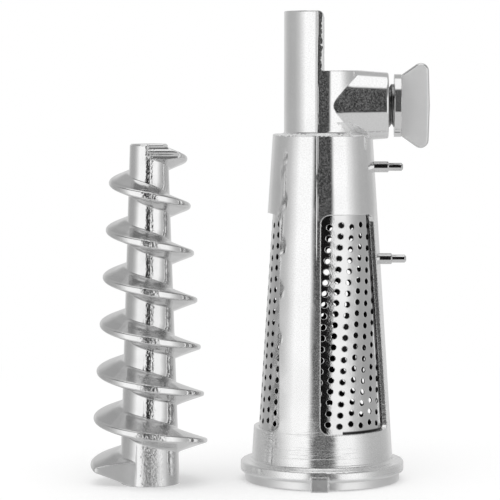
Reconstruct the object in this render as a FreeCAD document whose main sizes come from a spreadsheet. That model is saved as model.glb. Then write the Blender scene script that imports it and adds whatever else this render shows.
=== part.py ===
# Juicing strainer and conical auger of a hand-cranked meat grinder.
# The strainer stands on its large end. Origin: strainer axis on the base plane, Z up, X along the
# regulating screw, so that the front of the strainer faces -Y. Lengths in mm, angles in degrees.
import FreeCAD
import Part
import math
import os
import re

import Sketcher

SIZES = [
    ("spigot_radius", 31.0, "spigot that enters the grinder barrel"),
    ("spigot_height", 3.6, "spigot below the flange"),
    ("flange_radius", 32.75, "flange that the ring nut clamps"),
    ("flange_thickness", 4.4, "flange"),
    ("flange_round", 1.0, "rounding of the flange rim"),
    ("spigot_round", 0.4, "rounding of the spigot's lower edge"),
    ("root_round", 1.2, "fillets where cone and tube stand on a flat"),
    ("key_width", 6.7, "key lug on the spigot"),
    ("key_offset", -0.7, "key lug, sideways from the axis"),
    ("key_stand", 2.4, "key lug, out from the spigot"),
    ("key_bury", 2.0, "key lug, into the spigot"),
    ("cone_radius", 28.3, "outside of the cone at the flange"),
    ("cone_taper", 3.69, "half angle of the cone"),
    ("cone_height", 130.7, "flange to shoulder"),
    ("cone_wall", 2.0, "casting wall around the screen"),
    ("shoulder_plate", 3.2, "plate closing the top of the cone"),
    ("shoulder_round", 0.6, "rounding of the shoulder edge"),
    ("tube_radius", 15.4, "outside of the pulp outlet tube"),
    ("tube_wall", 2.5, "wall of the pulp outlet tube"),
    ("tube_height", 48.7, "shoulder to top of the tube"),
    ("tube_round", 0.5, "rounding of the tube's top edges"),
    ("gutter_height", 23.5, "half-open part of the tube"),
    ("gutter_offset", 0.5, "half-open cut, from the axis"),
    ("gutter_round", 2.5, "rounded top corners of the half tube"),
    ("boss_radius", 13.1, "outside of the screw boss at its end"),
    ("boss_draft", 4.4, "casting draft of the screw boss"),
    ("boss_reach", 26.15, "end face of the boss from the axis"),
    ("boss_rise", 11.3, "boss axis above the shoulder"),
    ("boss_round", 0.8, "rounding of the boss end"),
    ("rib_width", 16.4, "bars between the windows"),
    ("rib_offset", -8.7, "front and back bars, sideways from the axis"),
    ("window_rise", 13.5, "window above the flange"),
    ("window_height", 85.8, "window"),
    ("window_round", 3.6, "window corners"),
    ("screen_sheet", 0.6, "screen sheet thickness"),
    ("screen_fit", 0.05, "screen to casting, each side"),
    ("screen_overlap", 6.0, "screen beyond the top of the windows"),
    ("lip_width", 2.0, "rolled lip at the screen's large end"),
    ("hole_radius", 1.18, "perforations"),
    ("hole_pitch", 4.34, "perforations, along the sheet"),
    ("hole_spread", 4.65, "perforations, round each row"),
    ("hole_stagger", 0.8, "every other column, along the sheet"),
    ("hole_margin", 4.0, "top of the windows to the first row"),
    ("hole_foot", 2.0, "last row to the bottom of the windows, at least"),
    ("seam_angle", 31.3, "sheet seam, round from the side bar"),
    ("seam_strip", 2.6, "blank sheet each side of the seam"),
    ("upper_pin_rise", 117.6, "upper tray pin above the flange"),
    ("lower_pin_rise", 80.9, "lower tray pin above the flange"),
    ("upper_pin_stand", 5.6, "shoulder of the upper pin from the cone"),
    ("lower_pin_stand", 4.65, "shoulder of the lower pin from the cone"),
    ("pin_radius", 2.2, "thick part of a tray pin"),
    ("pin_tip_radius", 1.6, "thin part of a tray pin"),
    ("pin_tip_length", 5.7, "thin part of a tray pin"),
    ("pin_stud_radius", 1.3, "stud of a tray pin in the wall"),
    ("pin_stud_short", 0.3, "stud of a tray pin, short of the screen"),
    ("pin_seat_depth", 0.7, "spot face for a tray pin"),
    ("pin_fit", 0.02, "tray pin in its hole, each side"),
    ("pin_ease", 0.6, "eased end of a tray pin"),
    ("thread_radius", 8.55, "regulating screw over the thread"),
    ("thread_pitch", 2.0, "regulating screw"),
    ("thread_depth", 1.1, "regulating screw"),
    ("thread_flat", 0.24, "flat at crest and root of the thread"),
    ("thread_runout", 0.8, "thread groove beyond the collar face"),
    ("thread_fit", 0.3, "regulating screw in the boss, each side"),
    ("collar_radius", 12.5, "collar of the wing head"),
    ("collar_thickness", 2.8, "collar of the wing head"),
    ("collar_gap", 2.2, "boss to collar as photographed"),
    ("wing_length", 11.4, "wing beyond the collar"),
    ("wing_root", 12.1, "half span of the wing at the collar"),
    ("wing_span", 19.7, "half span of the wing's outer corners before rounding"),
    ("wing_bow", 0.6, "bow of the wing's outer edge"),
    ("wing_thickness", 5.0, "wing"),
    ("wing_corner", 3.2, "rounding of the wing's outer corners"),
    ("wing_round", 1.2, "rounding of the wing's rim"),
    ("tang_thickness", 2.6, "tang of the stem cast into the wing"),
    ("tang_width", 9.0, "tang of the stem cast into the wing"),
    ("tang_length", 9.0, "tang of the stem cast into the wing"),
    ("tang_fit", 0.02, "tang in the wing, each side"),
    ("plug_length", 8.0, "swivel plug on the stem"),
    ("plug_gap", 0.5, "plug to the far tube wall when closed"),
    ("plug_relief", 0.4, "plug smaller than the thread, on radius"),
    ("plug_round", 1.5, "rounding of the plug's nose"),
    ("closed_gap", 0.1, "collar to boss when closed"),
    ("journal_radius", 4.0, "stem journal inside the plug"),
    ("journal_fit", 0.08, "stem journal in the plug, each side"),
    ("head_radius", 5.4, "peened head that holds the plug"),
    ("head_thickness", 1.8, "peened head that holds the plug"),
    ("head_ease", 0.4, "eased edge of the peened head"),
    ("head_recess", 3.0, "recess in the plug's nose"),
    ("head_fit", 0.3, "play around the peened head"),
    ("end_play", 0.2, "axial play of the plug on the stem"),
    ("auger_length", 135.0, "auger"),
    ("auger_gap", 2.0, "flight to screen at the large end"),
    ("auger_taper", 3.98, "half angle of the flights"),
    ("core_radius", 11.9, "auger core at the large end"),
    ("core_taper", 1.87, "half angle of the core"),
    ("core_round", 0.6, "rounding of the core's small end"),
    ("flight_pitch", 18.7, "auger"),
    ("flight_turns", 7.0, "auger"),
    ("flight_start", 3.0, "middle of the flight at the large end"),
    ("flight_tip", 2.7, "flight thickness at its rim"),
    ("flight_ease", 0.7, "eased edges of the rim"),
    ("flight_flank", 16.0, "slope of each flank"),
    ("flight_bury", 1.0, "flight into the core"),
    ("tail_inset", 1.2, "end cut at the large end, inside the core surface"),
    ("tail_reach", 15.9, "end cut at the large end, up from the foot"),
    ("head_inset", -0.6, "end cut at the small end, inside the core surface"),
    ("head_reach", 14.0, "end cut at the small end, down from the top"),
    ("bush_radius", 8.5, "drive bush"),
    ("bush_length", 20.0, "drive bush"),
    ("bush_fit", 0.02, "drive bush in the core, each side"),
    ("drive_square", 9.5, "drive socket across flats"),
    ("drive_depth", 17.0, "drive socket"),
    ("stand_apart", 11.65, "clear floor between flange and auger"),
    ("stand_forward", 11.6, "auger in front of the strainer axis"),
    ("overrun", 1.0, "cuts beyond the surfaces that they open"),
]
# Lengths this near to each other are taken as the same one.
SAME = 1e-4

doc = FreeCAD.newDocument("juicing_strainer")
sheet = doc.addObject("Spreadsheet::Sheet", "sizes")
for row, (alias, number, note) in enumerate(SIZES, start=1):
    sheet.set(f"A{row}", note)
    sheet.set(f"B{row}", str(number))
    sheet.setAlias(f"B{row}", alias)
doc.recompute()

NAMES = re.compile(r"\b(" + "|".join(alias for alias, _, _ in SIZES) + r")\b")


def linked(formula):
    """Formula in size names, as an expression that reads the sheet."""
    return NAMES.sub(r"sizes.\1", formula)


def size(formula):
    """Present value of a formula in size names."""
    return float(sheet.evalExpression(formula))


def bind(thing, prop, formula):
    """Drive one property of an object by a formula in size names."""
    thing.setExpression(prop, linked(formula))


# Shared heights and radii, as formulas in size names.
FLANGE_TOP = "(spigot_height + flange_thickness)"
SHOULDER = f"({FLANGE_TOP} + cone_height)"
TUBE_TOP = f"({SHOULDER} + tube_height)"
TUBE_BORE = "(tube_radius - tube_wall)"
GUTTER_FLOOR = f"({TUBE_TOP} - gutter_height)"
BOSS_AXIS = f"({SHOULDER} + boss_rise)"
BOSS_BORE = "(thread_radius + thread_fit)"
CEILING = f"({SHOULDER} - shoulder_plate)"
WINDOW_LOW = f"({FLANGE_TOP} + window_rise)"
WINDOW_HIGH = f"({WINDOW_LOW} + window_height)"
SCREEN_TOP = f"({WINDOW_HIGH} + screen_overlap)"
COLLAR_FACE = "(boss_reach + collar_gap)"
PLUG_RADIUS = "(thread_radius - plug_relief)"
FAR_WALL = f"sqrt({TUBE_BORE} ^ 2 - ({PLUG_RADIUS} - plug_round) ^ 2)"
PLUG_NOSE = f"(collar_gap - closed_gap + plug_gap - {FAR_WALL})"
PLUG_BACK = f"({PLUG_NOSE} + plug_length)"


def cone_at(height):
    """Outer radius of the cone at a height formula."""
    return f"(cone_radius - ({height} - {FLANGE_TOP}) * tan(cone_taper * 1deg))"


def seat_at(height):
    """Radius of the screen's seat in the casting at a height formula."""
    return f"({cone_at(height)} - cone_wall)"


def screen_at(height):
    """Outer radius of the screen at a height formula."""
    return f"({seat_at(height)} - screen_fit)"


FLIGHT_FOOT = f"({screen_at('0')} - screen_sheet - auger_gap)"


def new_body(name):
    """Empty body whose name and label are the node's name."""
    body = doc.addObject("PartDesign::Body", name)
    body.Label = name
    return body


def new_sketch(body, name, role, offset=None):
    """Empty sketch on one of the body's own origin planes, lifted off it by a formula."""
    sketch = body.newObject("Sketcher::SketchObject", name)
    plane = next(item for item in body.Origin.OriginFeatures if item.Role == role)
    sketch.AttachmentSupport = [(plane, "")]
    sketch.MapMode = "FlatFace"
    if offset is not None:
        bind(sketch, "AttachmentOffset.Base.z", offset)
    return sketch


def outline(body, name, role, corners, offset=None):
    """Closed outline through corners given as pairs of formulas."""
    sketch = new_sketch(body, name, role, offset)
    points = [FreeCAD.Vector(size(across), size(up), 0) for across, up in corners]
    count = len(points)
    for index in range(count):
        sketch.addGeometry(Part.LineSegment(points[index], points[(index + 1) % count]), False)
    for index in range(count):
        sketch.addConstraint(Sketcher.Constraint("Coincident", index, 2, (index + 1) % count, 1))
    for index, corner in enumerate(corners):
        for kind, formula in zip(("DistanceX", "DistanceY"), corner):
            place = sketch.addConstraint(Sketcher.Constraint(kind, -1, 1, index, 1, size(formula)))
            bind(sketch, f"Constraints[{place}]", formula)
    return sketch


def disc(body, name, role, up, radius, offset=None):
    """Circle on the sketch's upright axis."""
    sketch = new_sketch(body, name, role, offset)
    centre = FreeCAD.Vector(0, size(up), 0)
    sketch.addGeometry(Part.Circle(centre, FreeCAD.Vector(0, 0, 1), size(radius)), False)
    sketch.addConstraint(Sketcher.Constraint("DistanceX", -1, 1, 0, 3, 0.0))
    for kind, formula, reference in (("DistanceY", up, (-1, 1, 0, 3)), ("Radius", radius, (0,))):
        place = sketch.addConstraint(Sketcher.Constraint(kind, *reference, size(formula)))
        bind(sketch, f"Constraints[{place}]", formula)
    return sketch


def feature(body, kind, name, sketch, **settings):
    """Sketch-based feature; text settings are formulas, others are set as they are."""
    made = body.newObject(f"PartDesign::{kind}", name)
    made.Profile = sketch
    sketch.Visibility = False
    for prop, value in settings.items():
        if isinstance(value, str):
            bind(made, prop, value)
        else:
            setattr(made, prop, value)
    doc.recompute()
    return made


def turned(body, name, role, corners, axis, kind="Revolution"):
    """Outline turned about a sketch axis, added to or taken from the body."""
    sketch = outline(body, f"{name}_outline", role, corners)
    return feature(body, kind, name, sketch, ReferenceAxis=(sketch, [axis]), Angle=360.0)


def rounded(body, name, base, radius, wanted):
    """Fillet the edges of a feature that the test picks out."""
    edges = [f"Edge{place}" for place, edge in enumerate(base.Shape.Edges, start=1) if wanted(edge)]
    if not edges:
        raise RuntimeError(f"no edge for {name}")
    made = body.newObject("PartDesign::Fillet", name)
    made.Base = (base, edges)
    bind(made, "Radius", radius)
    doc.recompute()
    return made


def ring_edge(edge, radius, height):
    """Whether an edge is a full circle about Z of this radius at this height."""
    curve = edge.Curve
    if not isinstance(curve, Part.Circle) or not edge.isClosed():
        return False
    on_axis = math.hypot(curve.Center.x, curve.Center.y) < SAME
    return on_axis and abs(curve.Radius - radius) < SAME and abs(curve.Center.z - height) < SAME


def rings(*places):
    """Edge test for circles about Z at pairs of radius and height formulas."""
    wanted = [(size(radius), size(height)) for radius, height in places]
    return lambda edge: any(ring_edge(edge, radius, height) for radius, height in wanted)


# Strainer casting: turned outside first, then boss and key, then everything that is cut out of it.
casting = new_body("strainer_casting")
outside = turned(
    casting,
    "casting_outside",
    "XZ_Plane",
    [
        ("0", "0"),
        ("spigot_radius", "0"),
        ("spigot_radius", "spigot_height"),
        ("flange_radius", "spigot_height"),
        ("flange_radius", FLANGE_TOP),
        ("cone_radius", FLANGE_TOP),
        (cone_at(SHOULDER), SHOULDER),
        ("tube_radius", SHOULDER),
        ("tube_radius", TUBE_TOP),
        ("0", TUBE_TOP),
    ],
    "V_Axis",
)
rim = rounded(
    casting, "flange_rim", outside, "flange_round",
    rings(("flange_radius", FLANGE_TOP), ("flange_radius", "spigot_height")),
)
foot = rounded(casting, "spigot_edge", rim, "spigot_round", rings(("spigot_radius", "0")))
roots = rounded(
    casting, "standing_roots", foot, "root_round",
    rings(("cone_radius", FLANGE_TOP), ("tube_radius", SHOULDER)),
)
shoulder = rounded(casting, "shoulder_edge", roots, "shoulder_round", rings((cone_at(SHOULDER), SHOULDER)))
BOSS_ROOT = "(boss_radius + boss_reach * tan(boss_draft * 1deg))"
boss_circle = disc(casting, "boss_circle", "YZ_Plane", BOSS_AXIS, BOSS_ROOT)
boss = feature(
    casting, "Pad", "boss", boss_circle, Length="boss_reach", TaperAngle="-boss_draft * 1deg",
)
boss_end = size("boss_reach")
boss_size = size("boss_radius")


def boss_rim(edge):
    """Whether an edge is the rim of the boss's end face."""
    curve = edge.Curve
    if not isinstance(curve, Part.Circle):
        return False
    return abs(curve.Center.x - boss_end) < SAME and abs(curve.Radius - boss_size) < SAME


boss_edge = rounded(casting, "boss_edge", boss, "boss_round", boss_rim)
KEY_LEFT = "(key_offset - key_width / 2)"
KEY_RIGHT = "(key_offset + key_width / 2)"
KEY_FRONT = "(-spigot_radius - key_stand)"
KEY_BACK = "(-spigot_radius + key_bury)"
key_outline = outline(
    casting, "key_outline", "XY_Plane",
    [(KEY_LEFT, KEY_FRONT), (KEY_RIGHT, KEY_FRONT), (KEY_RIGHT, KEY_BACK), (KEY_LEFT, KEY_BACK)],
)
key = feature(casting, "Pad", "key", key_outline, Length="spigot_height + flange_thickness / 2")
LIP_FLOOR = "(screen_sheet + 2 * screen_fit)"
LIP_RADIUS = f"({screen_at('0')} + lip_width)"
chamber = turned(
    casting,
    "chamber",
    "XZ_Plane",
    [
        ("0", "-overrun"),
        (f"{LIP_RADIUS} + screen_fit", "-overrun"),
        (f"{LIP_RADIUS} + screen_fit", LIP_FLOOR),
        (seat_at(LIP_FLOOR), LIP_FLOOR),
        (seat_at(SCREEN_TOP), SCREEN_TOP),
        (f"{screen_at(SCREEN_TOP)} - screen_sheet", SCREEN_TOP),
        (f"{screen_at(CEILING)} - screen_sheet", CEILING),
        (TUBE_BORE, CEILING),
        (TUBE_BORE, f"{TUBE_TOP} + overrun"),
        ("0", f"{TUBE_TOP} + overrun"),
    ],
    "V_Axis",
    "Groove",
)
tube_edges = rounded(
    casting, "tube_edges", chamber, "tube_round",
    rings(("tube_radius", TUBE_TOP), (TUBE_BORE, TUBE_TOP)),
)
boss_bore_circle = disc(casting, "boss_bore_circle", "YZ_Plane", BOSS_AXIS, BOSS_BORE)
boss_bore = feature(
    casting, "Pocket", "boss_bore", boss_bore_circle, Length="boss_reach + overrun", Reversed=True,
)

pins = {"upper": "upper_pin_rise", "lower": "lower_pin_rise"}
for side, rise in pins.items():
    height = f"({FLANGE_TOP} + {rise})"
    stud_hole = disc(casting, f"{side}_stud_circle", "YZ_Plane", height, "pin_stud_radius + pin_fit")
    feature(casting, "Pocket", f"{side}_stud_hole", stud_hole, Length="flange_radius", Reversed=True)
    seat = disc(
        casting, f"{side}_seat_circle", "YZ_Plane", height, "pin_radius + pin_fit",
        f"{cone_at(height)} - pin_seat_depth",
    )
    feature(casting, "Pocket", f"{side}_pin_seat", seat, Length="flange_radius", Reversed=True)

# Windows and the half-open tube are cut with rounded blocks that keep their own corners.
FAR = "(2 * flange_radius)"
RIB_RIGHT = "(rib_offset + rib_width / 2)"
RIB_LEFT = "(rib_offset - rib_width / 2)"


def upright_edge(along):
    """Edge test for straight edges along one axis."""
    def wanted(edge):
        if not isinstance(edge.Curve, Part.Line):
            return False
        return abs(abs(edge.Curve.Direction.dot(along)) - 1) < SAME
    return wanted


def corner_edges(across):
    """Edge test for straight edges along Y on the plane at one place across."""
    place = size(across)
    along_y = upright_edge(FreeCAD.Vector(0, 1, 0))
    return lambda edge: along_y(edge) and abs(edge.CenterOfMass.x - place) < SAME


side_block = new_body("side_window_block")
side_outline = outline(
    side_block, "side_window_outline", "XZ_Plane",
    [(RIB_RIGHT, WINDOW_LOW), (FAR, WINDOW_LOW), (FAR, WINDOW_HIGH), (RIB_RIGHT, WINDOW_HIGH)],
    "rib_width / 2",
)
side_pad = feature(side_block, "Pad", "side_window_pad", side_outline, Length=FAR)
side_corner = rounded(side_block, "side_window_corners", side_pad, "window_round", corner_edges(RIB_RIGHT))
rib_face = -size("rib_width / 2")


def rib_side_edge(edge):
    """Whether an edge along X bounds the face beside the bar that carries the pins."""
    along_x = upright_edge(FreeCAD.Vector(1, 0, 0))
    return along_x(edge) and abs(edge.CenterOfMass.y - rib_face) < SAME


side_rounds = rounded(side_block, "side_window_rounds", side_corner, "window_round", rib_side_edge)
back_block = doc.addObject("Part::Mirroring", "back_window_block")
back_block.Source = side_block
back_block.Base = FreeCAD.Vector(0, 0, 0)
back_block.Normal = FreeCAD.Vector(0, 1, 0)

left_block = new_body("left_window_block")
left_outline = outline(
    left_block, "left_window_outline", "XZ_Plane",
    [(f"-{FAR}", WINDOW_LOW), (RIB_LEFT, WINDOW_LOW), (RIB_LEFT, WINDOW_HIGH), (f"-{FAR}", WINDOW_HIGH)],
)
left_pad = feature(left_block, "Pad", "left_window_pad", left_outline, Length=f"2 * {FAR}", Midplane=True)
left_corner = rounded(left_block, "left_window_corners", left_pad, "window_round", corner_edges(RIB_LEFT))

gutter_block = new_body("gutter_block")
gutter_outline = outline(
    gutter_block, "gutter_outline", "XZ_Plane",
    [
        ("gutter_offset", GUTTER_FLOOR),
        ("tube_radius + overrun", GUTTER_FLOOR),
        ("tube_radius + overrun", f"{TUBE_TOP} + overrun"),
        ("gutter_offset - gutter_round - overrun", f"{TUBE_TOP} + overrun"),
        ("gutter_offset - gutter_round - overrun", TUBE_TOP),
        ("gutter_offset", TUBE_TOP),
    ],
)
gutter_pad = feature(gutter_block, "Pad", "gutter_pad", gutter_outline, Length=f"2 * {FAR}", Midplane=True)
tube_top = size(TUBE_TOP)
gutter_face = size("gutter_offset")


def gutter_lip(edge):
    """Whether an edge is the one that rounds the half tube's top corners."""
    along_y = upright_edge(FreeCAD.Vector(0, 1, 0))
    middle = edge.CenterOfMass
    return along_y(edge) and abs(middle.x - gutter_face) < SAME and abs(middle.z - tube_top) < SAME


gutter_corner = rounded(gutter_block, "gutter_corner", gutter_pad, "gutter_round", gutter_lip)

openings = doc.addObject("Part::Compound", "casting_openings")
openings.Links = [side_block, back_block, left_block, gutter_block]
housing = doc.addObject("Part::Cut", "strainer_housing")
housing.Label = "strainer_housing"
housing.Base = casting
housing.Tool = openings

# Screen: rolled cone with a lip at its large end, punched in rows from both sides of its seam.
blank = new_body("screen_blank")
turned(
    blank,
    "screen_cone",
    "XZ_Plane",
    [
        (f"{screen_at('screen_fit')} - screen_sheet", "screen_fit"),
        (LIP_RADIUS, "screen_fit"),
        (LIP_RADIUS, "screen_fit + screen_sheet"),
        (screen_at("screen_fit + screen_sheet"), "screen_fit + screen_sheet"),
        (screen_at(f"{SCREEN_TOP} - screen_fit"), f"{SCREEN_TOP} - screen_fit"),
        (f"{screen_at(f'{SCREEN_TOP} - screen_fit')} - screen_sheet", f"{SCREEN_TOP} - screen_fit"),
    ],
    "V_Axis",
)


def punched_places():
    """Angle round the axis and height of each perforation, in level rows with every other column lower."""
    taper = math.radians(size("cone_taper"))
    foot_radius = size(f"{screen_at('0')} - screen_sheet / 2")
    apex = foot_radius / math.tan(taper)
    longest = (apex - size(WINDOW_LOW)) / math.cos(taper) - size("hole_foot")
    shortest = (apex - size(WINDOW_HIGH)) / math.cos(taper) + size("hole_margin")
    pitch = size("hole_pitch")
    spread = size("hole_spread")
    rows = int((longest - shortest) / pitch) + 1
    columns = int(math.pi * longest * math.sin(taper) / spread) + 1
    middle = math.radians(size("seam_angle")) + math.pi
    places = []
    for row in range(rows):
        for column in range(-columns, columns + 1):
            reach = shortest + row * pitch + size("hole_stagger") * (column % 2)
            radius = reach * math.sin(taper)
            turn = column * spread / radius
            from_seam = (math.pi - abs(turn)) * radius
            if reach <= longest and from_seam > size("seam_strip"):
                places.append((middle + turn, apex - reach * math.cos(taper)))
    return places


def in_a_window(angle, height):
    """Whether a perforation lies at least partly in one of the windows."""
    radius = size("cone_radius") - (height - size(FLANGE_TOP)) * math.tan(math.radians(size("cone_taper")))
    across = radius * math.cos(angle)
    aside = abs(radius * math.sin(angle))
    reach = 2 * size("hole_radius")
    beside_pins = across > size(RIB_RIGHT) - reach and aside > size("rib_width / 2") - reach
    return beside_pins or across < size(RIB_LEFT) + reach


def punch(angle, height):
    """Cylinder square to the sheet at one perforation."""
    taper = math.radians(size("cone_taper"))
    middle = size(f"{screen_at('0')} - screen_sheet / 2") - height * math.tan(taper)
    out = FreeCAD.Vector(
        math.cos(angle) * math.cos(taper), math.sin(angle) * math.cos(taper), math.sin(taper),
    )
    centre = FreeCAD.Vector(middle * math.cos(angle), middle * math.sin(angle), height)
    half = 2 * size("screen_sheet")
    return Part.makeCylinder(size("hole_radius"), 2 * half, centre - out * half, out)


punches = doc.addObject("Part::Feature", "screen_punches")
punches.Shape = Part.makeCompound(
    [punch(angle, height) for angle, height in punched_places() if in_a_window(angle, height)],
)
screen = doc.addObject("Part::Cut", "perforated_screen")
screen.Label = "perforated_screen"
screen.Base = blank
screen.Tool = punches

# Tray pins: stud in the wall, thick shank on a spot face, thin tip.
pin_stands = {"upper": "upper_pin_stand", "lower": "lower_pin_stand"}
made_pins = []
for side, rise in pins.items():
    height = f"({FLANGE_TOP} + {rise})"
    surface = cone_at(height)
    shoulder_x = f"({surface} + {pin_stands[side]})"
    stud_end = f"({surface} - cone_wall + pin_stud_short)"
    pin = new_body(f"{side}_tray_pin")
    shank = turned(
        pin,
        f"{side}_pin_shank",
        "XZ_Plane",
        [
            (stud_end, "0"),
            (stud_end, "pin_stud_radius"),
            (f"{surface} - pin_seat_depth", "pin_stud_radius"),
            (f"{surface} - pin_seat_depth", "pin_radius"),
            (f"{shoulder_x} - pin_ease / 2", "pin_radius"),
            (shoulder_x, "pin_radius - pin_ease / 2"),
            (shoulder_x, "pin_tip_radius"),
            (f"{shoulder_x} + pin_tip_length - pin_ease", "pin_tip_radius"),
            (f"{shoulder_x} + pin_tip_length", "pin_tip_radius - pin_ease"),
            (f"{shoulder_x} + pin_tip_length", "0"),
        ],
        "H_Axis",
    )
    bind(pin, "Placement.Base.z", height)
    made_pins.append(pin)

# Regulating stem: thread, journal and peened head for the plug, tang for the wing head.
stem = new_body("regulating_stem")
turned(
    stem,
    "stem_turning",
    "XZ_Plane",
    [
        (f"{PLUG_NOSE} + head_recess - end_play - head_thickness", "0"),
        (f"{PLUG_NOSE} + head_recess - end_play - head_thickness", "head_radius - head_ease"),
        (f"{PLUG_NOSE} + head_recess - end_play - head_thickness + head_ease", "head_radius"),
        (f"{PLUG_NOSE} + head_recess - end_play", "head_radius"),
        (f"{PLUG_NOSE} + head_recess - end_play", "journal_radius"),
        (f"{PLUG_BACK} + end_play", "journal_radius"),
        (f"{PLUG_BACK} + end_play", "thread_radius - thread_depth"),
        (f"{PLUG_BACK} + end_play + thread_depth", "thread_radius"),
        (COLLAR_FACE, "thread_radius"),
        (COLLAR_FACE, "0"),
    ],
    "H_Axis",
)
GROOVE_START = f"({PLUG_BACK} - thread_pitch)"
GROOVE_FLANK = "(thread_pitch / 2 - thread_flat)"
groove_outline = outline(
    stem, "thread_groove", "XZ_Plane",
    [
        (GROOVE_START, "thread_radius + thread_fit"),
        (f"{GROOVE_START} + {GROOVE_FLANK}", "thread_radius - thread_depth"),
        (f"{GROOVE_START} + {GROOVE_FLANK} + thread_flat", "thread_radius - thread_depth"),
        (f"{GROOVE_START} + 2 * {GROOVE_FLANK} + thread_flat", "thread_radius + thread_fit"),
    ],
)
thread = stem.newObject("PartDesign::SubtractiveHelix", "thread")
thread.Profile = groove_outline
thread.ReferenceAxis = (groove_outline, ["H_Axis"])
thread.Mode = "pitch-height-angle"
bind(thread, "Pitch", "thread_pitch")
bind(thread, "Height", f"{COLLAR_FACE} - {PLUG_BACK} + thread_runout")
doc.recompute()
tang_outline = outline(
    stem, "tang_outline", "YZ_Plane",
    [
        ("-tang_thickness / 2", "-tang_width / 2"),
        ("tang_thickness / 2", "-tang_width / 2"),
        ("tang_thickness / 2", "tang_width / 2"),
        ("-tang_thickness / 2", "tang_width / 2"),
    ],
    COLLAR_FACE,
)
feature(stem, "Pad", "tang", tang_outline, Length="tang_length")
bind(stem, "Placement.Base.z", BOSS_AXIS)

# Wing head: collar and fan-shaped wing in one casting, cast round the tang.
wing = new_body("wing_head")
WING_FOOT = f"({COLLAR_FACE} + collar_thickness)"
WING_END = f"({WING_FOOT} + wing_length - wing_bow)"
fan_outline = outline(
    wing, "fan_outline", "XZ_Plane",
    [
        (f"{WING_FOOT} - collar_thickness / 2", "-wing_root"),
        (WING_FOOT, "-wing_root"),
        (WING_END, "-wing_span"),
        (f"{WING_END} + wing_bow", "0"),
        (WING_END, "wing_span"),
        (WING_FOOT, "wing_root"),
        (f"{WING_FOOT} - collar_thickness / 2", "wing_root"),
    ],
)
fan = feature(wing, "Pad", "fan", fan_outline, Length="wing_thickness", Midplane=True)
fan_corner = rounded(
    wing, "fan_corners", fan, "wing_corner",
    lambda edge: upright_edge(FreeCAD.Vector(0, 1, 0))(edge)
    and abs(abs(edge.CenterOfMass.z) - size("wing_span")) < SAME,
)
half_wing = size("wing_thickness / 2")
wing_foot = size(WING_FOOT)


def wing_rim(edge):
    """Whether an edge runs round one face of the wing, clear of the collar."""
    box = edge.BoundBox
    flat = box.YLength < SAME and abs(abs(edge.CenterOfMass.y) - half_wing) < SAME
    return flat and box.XMax > wing_foot + SAME


fan_rim = rounded(wing, "fan_rim", fan_corner, "wing_round", wing_rim)
collar_circle = disc(wing, "collar_circle", "YZ_Plane", "0", "collar_radius", COLLAR_FACE)
collar = feature(wing, "Pad", "collar", collar_circle, Length="collar_thickness")
slot_outline = outline(
    wing, "tang_slot_outline", "YZ_Plane",
    [
        ("-tang_thickness / 2 - tang_fit", "-tang_width / 2 - tang_fit"),
        ("tang_thickness / 2 + tang_fit", "-tang_width / 2 - tang_fit"),
        ("tang_thickness / 2 + tang_fit", "tang_width / 2 + tang_fit"),
        ("-tang_thickness / 2 - tang_fit", "tang_width / 2 + tang_fit"),
    ],
    COLLAR_FACE,
)
feature(wing, "Pocket", "tang_slot", slot_outline, Length="tang_length + tang_fit", Reversed=True)
bind(wing, "Placement.Base.z", BOSS_AXIS)

# Swivel plug on the stem's journal, which slides with the screw without turning.
plug = new_body("regulator_plug")
turned(
    plug,
    "plug_turning",
    "XZ_Plane",
    [
        (PLUG_NOSE, "head_radius + head_fit"),
        (PLUG_NOSE, f"{PLUG_RADIUS} - plug_round"),
        (f"{PLUG_NOSE} + plug_round", PLUG_RADIUS),
        (PLUG_BACK, PLUG_RADIUS),
        (PLUG_BACK, "journal_radius + journal_fit"),
        (f"{PLUG_NOSE} + head_recess", "journal_radius + journal_fit"),
        (f"{PLUG_NOSE} + head_recess", "head_radius + head_fit"),
    ],
    "H_Axis",
)
bind(plug, "Placement.Base.z", BOSS_AXIS)

# Auger: flight swept round the axis, trimmed at both ends, then the core and the bush seat.
# Its own X axis points to the front of the strainer.
auger = new_body("auger_screw")
RIM_FOOT = f"({FLIGHT_FOOT} - flight_start * tan(auger_taper * 1deg))"
ROOT_FOOT = "(core_radius - flight_bury)"
ROOT_HALF = f"(flight_tip / 2 + ({RIM_FOOT} - {ROOT_FOOT}) * tan(flight_flank * 1deg))"
flight_outline = outline(
    auger, "flight_outline", "XZ_Plane",
    [
        (ROOT_FOOT, f"flight_start - {ROOT_HALF}"),
        (f"{RIM_FOOT} - flight_ease", "flight_start - flight_tip / 2"),
        (RIM_FOOT, "flight_start - flight_tip / 2 + flight_ease"),
        (RIM_FOOT, "flight_start + flight_tip / 2 - flight_ease"),
        (f"{RIM_FOOT} - flight_ease", "flight_start + flight_tip / 2"),
        (ROOT_FOOT, f"flight_start + {ROOT_HALF}"),
    ],
)
flight = auger.newObject("PartDesign::AdditiveHelix", "flight")
flight.Profile = flight_outline
flight.ReferenceAxis = (flight_outline, ["V_Axis"])
flight.Mode = "pitch-turns-angle"
flight.LeftHanded = True
bind(flight, "Pitch", "flight_pitch")
bind(flight, "Turns", "flight_turns")
bind(flight, "Angle", "-auger_taper * 1deg")
doc.recompute()


def block_cut(name, corners, height, length, upward):
    """Take a rectangular block out of the flight, up or down from a height."""
    (low_x, low_y), (high_x, high_y) = corners
    sketch = outline(
        auger, f"{name}_outline", "XY_Plane",
        [(low_x, low_y), (high_x, low_y), (high_x, high_y), (low_x, high_y)], height,
    )
    return feature(auger, "Pocket", name, sketch, Length=length, Reversed=upward)


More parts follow.
